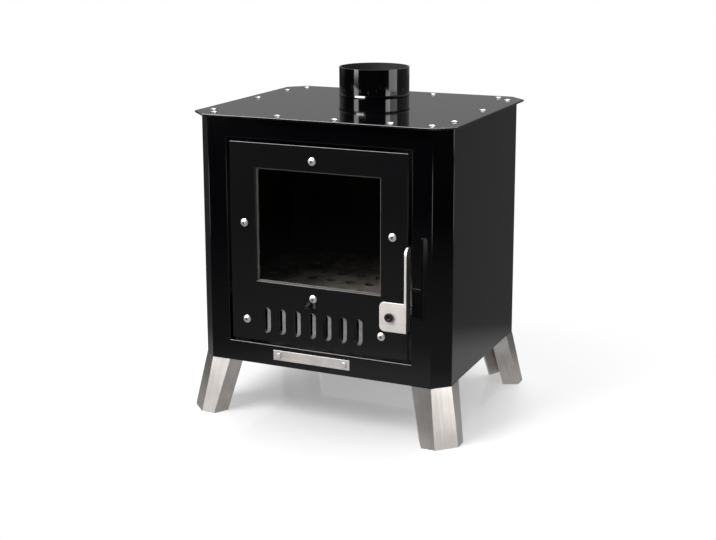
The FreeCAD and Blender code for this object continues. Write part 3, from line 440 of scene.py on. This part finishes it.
def black_oxide_steel():
    """Oil-blackened steel: dark brown-black with a soft sheen."""
    material, tree = new_material("black_oxide_steel")
    cloud_size = 4 * MM
    place = add_node(tree, "ShaderNodeTexCoord").outputs["Object"]
    cloud = add_node(tree, "ShaderNodeTexNoise", Vector=place, Scale=1 / cloud_size, Detail=3.0)
    rough = add_node(tree, "ShaderNodeMapRange", Value=cloud.outputs["Fac"], **span(level=(0.3, 0.5)))
    shader = add_node(
        tree, "ShaderNodeBsdfPrincipled", Base_Color=finishes().oxide, Metallic=0.5,
        Roughness=rough.outputs["Result"]
    )
    finish_surface(tree, shader.outputs["BSDF"])
    return material


def ceramic_glass():
    """Clear ceramic stove glass: a flat pane with a faint warm tint that lets the light through."""
    material, tree = new_material("ceramic_glass")
    tint = finishes().pane
    # Lower than the real index, so that the pane mirrors as faintly as the photograph's
    faint_mirror = 1.22
    shader = add_node(
        tree, "ShaderNodeBsdfPrincipled", Base_Color=tint, Roughness=0.02, IOR=faint_mirror,
        Transmission_Weight=1.0
    )
    clear = add_node(tree, "ShaderNodeBsdfTransparent", Color=tint)
    ray = add_node(tree, "ShaderNodeLightPath")
    mix = add_node(
        tree, "ShaderNodeMixShader", Fac=ray.outputs["Is Shadow Ray"], _1=shader.outputs["BSDF"],
        _2=clear.outputs["BSDF"]
    )
    finish_surface(tree, mix.outputs["Shader"])
    return material


def fibre_gasket():
    """Pressed glass-fibre gasket: grey, matt and slightly woolly."""
    material, tree = new_material("fibre_gasket")
    wool_size = 1.2 * MM
    wool_depth = 0.2 * MM
    place = add_node(tree, "ShaderNodeTexCoord").outputs["Object"]
    wool = add_node(tree, "ShaderNodeTexNoise", Vector=place, Scale=1 / wool_size, Detail=4.0)
    bump = add_node(tree, "ShaderNodeBump", Height=wool.outputs["Fac"], Strength=0.5, Distance=wool_depth)
    shader = add_node(
        tree, "ShaderNodeBsdfPrincipled", Base_Color=finishes().fibre, Roughness=0.95,
        Normal=bump.outputs["Normal"]
    )
    finish_surface(tree, shader.outputs["BSDF"])
    return material


def sintered_bronze():
    """Sintered bronze of the spindle's bush: warm, dull and fine-grained."""
    material, tree = new_material("sintered_bronze")
    pore_size = 0.8 * MM
    place = add_node(tree, "ShaderNodeTexCoord").outputs["Object"]
    pores = add_node(tree, "ShaderNodeTexNoise", Vector=place, Scale=1 / pore_size, Detail=2.0)
    rough = add_node(tree, "ShaderNodeMapRange", Value=pores.outputs["Fac"], **span(level=(0.35, 0.55)))
    shader = add_node(
        tree, "ShaderNodeBsdfPrincipled", Base_Color=finishes().bronze, Metallic=1.0,
        Roughness=rough.outputs["Result"]
    )
    finish_surface(tree, shader.outputs["BSDF"])
    return material


MAKERS = {
    "enamel": casing_enamel,
    "collar_enamel": collar_enamel,
    "door_enamel": door_enamel,
    "stainless_up": brushed_upright,
    "stainless_level": brushed_level,
    "stainless_handle": brushed_handle,
    "galvanised": galvanised_sheet,
    "fastener": bright_zinc,
    "top_fastener": shaded_zinc,
    "firebox": heat_darkened_steel,
    "oxide": black_oxide_steel,
    "glass": ceramic_glass,
    "gasket": fibre_gasket,
    "bronze": sintered_bronze,
}
made = {}


def finish_of(kind):
    """One of the stove's materials, made once."""
    if kind not in made:
        made[kind] = MAKERS[kind]()
    return made[kind]


def dress(kind, edge, *nodes):
    """Gives nodes a material and, where an edge is given, rounds their sharp edges."""
    for name in nodes:
        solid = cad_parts[name]
        for slot in solid.material_slots:
            slot.material = finish_of(kind)
        if edge <= 0:
            continue
        weld = solid.modifiers.new("join_corners", "WELD")
        weld.merge_threshold = WELD_REACH
        plain = solid.modifiers.new("plain_faces", "DECIMATE")
        plain.decimate_type = "DISSOLVE"
        plain.angle_limit = FLAT_ANGLE
        soft = solid.modifiers.new("soft_edges", "BEVEL")
        soft.width = edge
        soft.segments = EDGE_STEPS
        soft.limit_method = "ANGLE"
        soft.angle_limit = SHARP_ANGLE
        soft.use_clamp_overlap = False
        shade = solid.modifiers.new("even_shading", "WEIGHTED_NORMAL")
        shade.keep_sharp = False


class STOVE_OT_casing(bpy.types.Operator):
    """Dresses the folded casing, its base and the plain plate under the door"""

    bl_idname = "stove.casing"
    bl_label = "Casing"

    def execute(self, context):
        look = finishes()
        dress("enamel", look.sheet_edge, "casing_wrap", "back_panel", "base_plate", "latch_keeper")
        dress("enamel", 0.0, "hinge_bracket_lower", "hinge_bracket_upper")
        dress("stainless_level", look.steel_edge, "blank_plate")
        dress("fastener", look.steel_edge, "plate_rivets", "hinge_pin_lower", "hinge_pin_upper")
        return {"FINISHED"}


class STOVE_OT_top(bpy.types.Operator):
    """Dresses the top plate, its screws and the flue collar"""

    bl_idname = "stove.top"
    bl_label = "Top"

    def execute(self, context):
        look = finishes()
        dress("enamel", look.sheet_edge, "top_plate")
        dress("collar_enamel", 0.0, "flue_collar")
        dress("firebox", look.steel_edge, "top_frame")
        dress("top_fastener", 0.0, "top_screws")
        dress("fastener", look.steel_edge, "top_nuts")
        return {"FINISHED"}


class STOVE_OT_legs(bpy.types.Operator):
    """Dresses the folded legs and their screws"""

    bl_idname = "stove.legs"
    bl_label = "Legs"

    def execute(self, context):
        look = finishes()
        dress("stainless_up", 0.0, "leg_front_left", "leg_front_right", "leg_rear_left", "leg_rear_right")
        dress("fastener", 0.0, "leg_screws")
        dress("fastener", look.steel_edge, "leg_nuts")
        return {"FINISHED"}


class STOVE_OT_firebox(bpy.types.Operator):
    """Dresses the grate, its ledges and the ash pan"""

    bl_idname = "stove.firebox"
    bl_label = "Firebox"

    def execute(self, context):
        dress("firebox", 0.0, "grate", "grate_ledge_left", "grate_ledge_right", "ash_pan")
        return {"FINISHED"}


class STOVE_OT_door(bpy.types.Operator):
    """Dresses the door, its glass and its screws"""

    bl_idname = "stove.door"
    bl_label = "Door"

    def execute(self, context):
        look = finishes()
        dress("door_enamel", look.door_edge, "door_plate")
        dress("enamel", 0.0, "hinge_lug_lower", "hinge_lug_upper")
        dress("glass", 0.0, "door_glass")
        dress("gasket", 0.0, "glass_gasket")
        dress("firebox", look.steel_edge, "glass_retainer", "slide_guide")
        dress("fastener", 0.0, "door_screws")
        dress("fastener", look.steel_edge, "door_spacers", "door_nuts")
        dress("bronze", look.steel_edge, "spindle_bush")
        return {"FINISHED"}


class STOVE_OT_air_control(bpy.types.Operator):
    """Dresses the air slide and its knob"""

    bl_idname = "stove.air_control"
    bl_label = "Air control"

    def execute(self, context):
        look = finishes()
        dress("galvanised", 0.0, "air_slide")
        dress("oxide", look.knob_edge, "air_knob")
        return {"FINISHED"}


class STOVE_OT_latch(bpy.types.Operator):
    """Dresses the bent handle, its screw and the latch"""

    bl_idname = "stove.latch"
    bl_label = "Latch"

    def execute(self, context):
        look = finishes()
        dress("stainless_handle", look.steel_edge, "handle_lever", "latch_spindle", "latch_tongue")
        dress("oxide", look.knob_edge, "handle_screw")
        dress("fastener", look.steel_edge, "latch_screw")
        return {"FINISHED"}


def looking(tree):
    """Two masks: rays that see a surface directly or through glass, and rays that see it mirrored."""
    ray = add_node(tree, "ShaderNodeLightPath")
    bounces = add_node(
        tree, "ShaderNodeMath", _0=ray.outputs["Diffuse Depth"], _1=ray.outputs["Glossy Depth"]
    )
    half_bounce = 0.5
    straight = add_node(
        tree, "ShaderNodeMath", {"operation": "LESS_THAN"}, _0=bounces.outputs["Value"], _1=half_bounce
    )
    through = add_node(
        tree, "ShaderNodeMath", {"operation": "MULTIPLY"}, _0=ray.outputs["Is Transmission Ray"],
        _1=straight.outputs["Value"]
    )
    eye = add_node(
        tree, "ShaderNodeMath", {"operation": "MAXIMUM"}, _0=ray.outputs["Is Camera Ray"],
        _1=through.outputs["Value"]
    )
    mirror = add_node(
        tree, "ShaderNodeMath", {"operation": "SUBTRACT", "use_clamp": True},
        _0=ray.outputs["Is Glossy Ray"], _1=through.outputs["Value"]
    )
    return eye.outputs["Value"], mirror.outputs["Value"]


def mirrored_floor(tree, place, away):
    """The floor's strength in the stove's gloss: a pale ring, a darker front and four pools of light."""
    spot = add_node(tree, "ShaderNodeSeparateXYZ", Vector=place)
    near = add_node(tree, "ShaderNodeMapRange", Value=away, **span(NEAR_REACH, NEAR_LEVEL))
    behind = add_node(tree, "ShaderNodeMapRange", SMOOTH, Value=spot.outputs["Y"], **span(BEHIND_REACH))
    level = add_node(
        tree, "ShaderNodeMix", _0=behind.outputs["Result"], _2=near.outputs["Result"], _3=BEHIND_LEVEL
    )
    ring = add_node(tree, "ShaderNodeMapRange", Value=away, **span(RING_REACH, RING_LEVEL))
    leftward = add_node(
        tree, "ShaderNodeMapRange", Value=spot.outputs["X"], **span(SIDE_REACH, SIDE_LEVEL)
    )
    lit = add_node(tree, "ShaderNodeMath", _0=level.outputs[0], _1=ring.outputs["Result"])
    plain = add_node(
        tree, "ShaderNodeMath", {"operation": "MULTIPLY"}, _0=lit.outputs["Value"],
        _1=leftward.outputs["Result"]
    )
    ahead = add_node(tree, "ShaderNodeMath", {"operation": "MULTIPLY"}, _0=spot.outputs["Y"], _1=-1.0)
    bearing = add_node(
        tree, "ShaderNodeMath", {"operation": "ARCTAN2"}, _0=spot.outputs["X"], _1=ahead.outputs["Value"]
    )
    quarter = add_node(
        tree, "ShaderNodeMath", {"operation": "MULTIPLY_ADD"}, _0=bearing.outputs["Value"], _1=POOLS,
        _2=POOL_TURN
    )
    wave = add_node(tree, "ShaderNodeMath", {"operation": "COSINE"}, _0=quarter.outputs["Value"])
    pools = add_node(
        tree, "ShaderNodeMapRange", SMOOTH, Value=wave.outputs["Value"], **span(POOL_EDGE, POOL_LEVEL)
    )
    start = add_node(tree, "ShaderNodeMapRange", Value=away, **span(POOL_START))
    stop = add_node(tree, "ShaderNodeMapRange", Value=away, **span(POOL_STOP, FALLING))
    reach = add_node(
        tree, "ShaderNodeMath", {"operation": "MULTIPLY"}, _0=start.outputs["Result"],
        _1=stop.outputs["Result"]
    )
    bright = add_node(
        tree, "ShaderNodeMath", {"operation": "MULTIPLY_ADD"}, _0=pools.outputs["Result"],
        _1=reach.outputs["Value"], _2=plain.outputs["Value"]
    )
    return bright.outputs["Value"]


def gloss_floor(studio):
    """Pale gloss board: white to the eye, greyer in reflections, plain white away from the stove, and
    glowing less near it as a painted shadow.
    """
    material, tree = new_material("pale_gloss_floor")
    eye, mirror = looking(tree)
    place = add_node(tree, "ShaderNodeTexCoord").outputs["Object"]
    away = add_node(tree, "ShaderNodeVectorMath", {"operation": "LENGTH"}, _0=place).outputs["Value"]
    cloud = add_node(tree, "ShaderNodeTexNoise", Vector=place, Scale=1 / FLOOR_CLOUD, Detail=2.0)
    rough = add_node(tree, "ShaderNodeMapRange", Value=cloud.outputs["Fac"], **span(level=FLOOR_SHEEN))
    tone = add_node(tree, "ShaderNodeMix", COLOURS, _0=eye, _6=studio.floor_bounce, _7=studio.floor)
    # Painted light and shadow: the floor glows to lift its shade, and glows less near the stove's middle as
    # a painted shadow under it
    shaded_glow = add_node(tree, "ShaderNodeMapRange", Value=away, **span(GLOW_REACH, GLOW_LEVEL))
    glow = add_node(tree, "ShaderNodeMath", {"operation": "MULTIPLY"}, _0=shaded_glow.outputs["Result"], _1=eye)
    shaded = add_node(
        tree, "ShaderNodeBsdfPrincipled", Base_Color=tone.outputs[2], Roughness=rough.outputs["Result"],
        IOR=1.33, Emission_Color=WHITE, Emission_Strength=glow.outputs["Value"]
    )
    white = add_node(tree, "ShaderNodeEmission", Color=WHITE, Strength=1.0)
    far = add_node(tree, "ShaderNodeMapRange", SMOOTH, Value=away, **span(FADE_REACH))
    fade = add_node(tree, "ShaderNodeMath", {"operation": "MULTIPLY"}, _0=far.outputs["Result"], _1=eye)
    seen = add_node(
        tree, "ShaderNodeMixShader", Fac=fade.outputs["Value"], _1=shaded.outputs["BSDF"],
        _2=white.outputs["Emission"]
    )
    mirrored = add_node(
        tree, "ShaderNodeEmission", Color=WHITE, Strength=mirrored_floor(tree, place, away)
    )
    both = add_node(
        tree, "ShaderNodeMixShader", Fac=mirror, _1=seen.outputs["Shader"], _2=mirrored.outputs["Emission"]
    )
    finish_surface(tree, both.outputs["Shader"])
    material.cycles.emission_sampling = "NONE"
    return material


def studio_floor(studio):
    """The floor under the stove, one plain square."""
    half = FLOOR_HALF
    corners = [(-half, -half, 0), (half, -half, 0), (half, half, 0), (-half, half, 0)]
    mesh = bpy.data.meshes.new("floor")
    mesh.from_pydata(corners, [], [(0, 1, 2, 3)])
    mesh.materials.append(gloss_floor(studio))
    floor = bpy.data.objects.new("floor", mesh)
    bpy.context.collection.objects.link(floor)


def studio_lamp(name, place, width, height, watts):
    """A soft rectangular lamp that points at the stove."""
    lamp = bpy.data.lights.new(name, "AREA")
    lamp.shape = "RECTANGLE"
    lamp.size = width
    lamp.size_y = height
    lamp.energy = watts
    holder = bpy.data.objects.new(name, lamp)
    holder.location = place
    holder.rotation_euler = (Vector(LAMP_AIM) - Vector(place)).to_track_quat("-Z", "Y").to_euler()
    bpy.context.collection.objects.link(holder)


def studio_world():
    """White to the eye; in reflections, white behind the stove and dark in front of it, as in a studio."""
    world = bpy.data.worlds.new("studio")
    bpy.context.scene.world = world
    world.use_nodes = True
    tree = world.node_tree
    tree.nodes.clear()
    eye, mirror = looking(tree)
    ball = add_node(tree, "ShaderNodeTexCoord").outputs["Generated"]
    way = add_node(tree, "ShaderNodeSeparateXYZ", Vector=ball)
    behind = add_node(
        tree, "ShaderNodeMapRange", SMOOTH, Value=way.outputs["Y"], **span(BACKDROP_REACH, BACKDROP_LEVEL)
    )
    height = add_node(
        tree, "ShaderNodeMapRange", SMOOTH, Value=way.outputs["Z"], **span(SKIRTING_REACH, SKIRTING_LEVEL)
    )
    mirrored = add_node(
        tree, "ShaderNodeMath", {"operation": "MULTIPLY"}, _0=behind.outputs["Result"],
        _1=height.outputs["Result"]
    )
    seen = add_node(tree, "ShaderNodeMix", _0=mirror, _2=ROOM_LIGHT, _3=mirrored.outputs["Value"])
    strength = add_node(tree, "ShaderNodeMix", _0=eye, _2=seen.outputs[0], _3=1.0)
    light = add_node(tree, "ShaderNodeBackground", Color=WHITE, Strength=strength.outputs[0])
    add_node(tree, "ShaderNodeOutputWorld", Surface=light.outputs["Background"])


def studio_camera(studio):
    """The photograph's viewpoint."""
    lens = bpy.data.cameras.new("camera")
    lens.sensor_width = SENSOR
    lens.lens = studio.focal * SENSOR / PHOTO_WIDTH
    lens.shift_x = studio.across / PHOTO_WIDTH
    lens.shift_y = -studio.down / PHOTO_WIDTH
    camera = bpy.data.objects.new("camera", lens)
    camera.location = studio.place
    turn = Euler((math.pi / 2 - studio.pitch, 0.0, studio.yaw)).to_quaternion()
    lean = Quaternion((0.0, 0.0, 1.0), studio.roll)
    camera.rotation_euler = (turn @ lean).to_euler()
    bpy.context.collection.objects.link(camera)
    bpy.context.scene.camera = camera


class STOVE_OT_stage(bpy.types.Operator):
    """Sets the floor, the lamps, the world and the camera"""

    bl_idname = "stove.stage"
    bl_label = "Stage"

    def execute(self, context):
        studio = context.scene.stove_studio
        studio_floor(studio)
        studio_lamp("key_softbox", place=(-1.0, -1.5, 2.1), width=1.3, height=1.3, watts=150.0)
        studio_lamp("left_softbox", place=(-1.7, -2.15, 0.68), width=0.8, height=1.1, watts=26.0)
        studio_lamp("corner_softbox", place=(1.87, -0.72, 0.7), width=0.5, height=0.7, watts=10.0)
        studio_lamp("right_softbox", place=(2.0, -0.07, 0.68), width=1.15, height=1.3, watts=16.0)
        studio_lamp("overhead_softbox", place=(0.0, 0.9, 2.3), width=1.2, height=1.2, watts=65.0)
        studio_world()
        studio_camera(studio)
        context.scene.view_settings.view_transform = "Standard"
        return {"FINISHED"}


OPERATORS = (
    STOVE_OT_casing, STOVE_OT_top, STOVE_OT_legs, STOVE_OT_firebox, STOVE_OT_door, STOVE_OT_air_control,
    STOVE_OT_latch, STOVE_OT_stage,
)


class STOVE_PT_panel(bpy.types.Panel):
    """Lists the stove's pieces and its studio"""

    bl_idname = "STOVE_PT_panel"
    bl_label = "Camping Wood Stove"
    bl_space_type = "VIEW_3D"
    bl_region_type = "UI"
    bl_category = "Stove"

    def draw(self, context):
        for operator in OPERATORS:
            self.layout.operator(operator.bl_idname)


CLASSES = (StoveFinishes, StoveStudio, *OPERATORS, STOVE_PT_panel)


def register():
    """Registers the classes and their settings."""
    for item in CLASSES:
        bpy.utils.register_class(item)
    bpy.types.Scene.stove_finishes = PointerProperty(type=StoveFinishes)
    bpy.types.Scene.stove_studio = PointerProperty(type=StoveStudio)


def unregister():
    """Removes the settings and the classes."""
    del bpy.types.Scene.stove_studio
    del bpy.types.Scene.stove_finishes
    for item in reversed(CLASSES):
        bpy.utils.unregister_class(item)


def main():
    """Dresses the stove and sets its stage."""
    register()
    bpy.ops.stove.casing()
    bpy.ops.stove.top()
    bpy.ops.stove.legs()
    bpy.ops.stove.firebox()
    bpy.ops.stove.door()
    bpy.ops.stove.air_control()
    bpy.ops.stove.latch()
    bpy.ops.stove.stage()


if __name__ == "__main__":
    main()
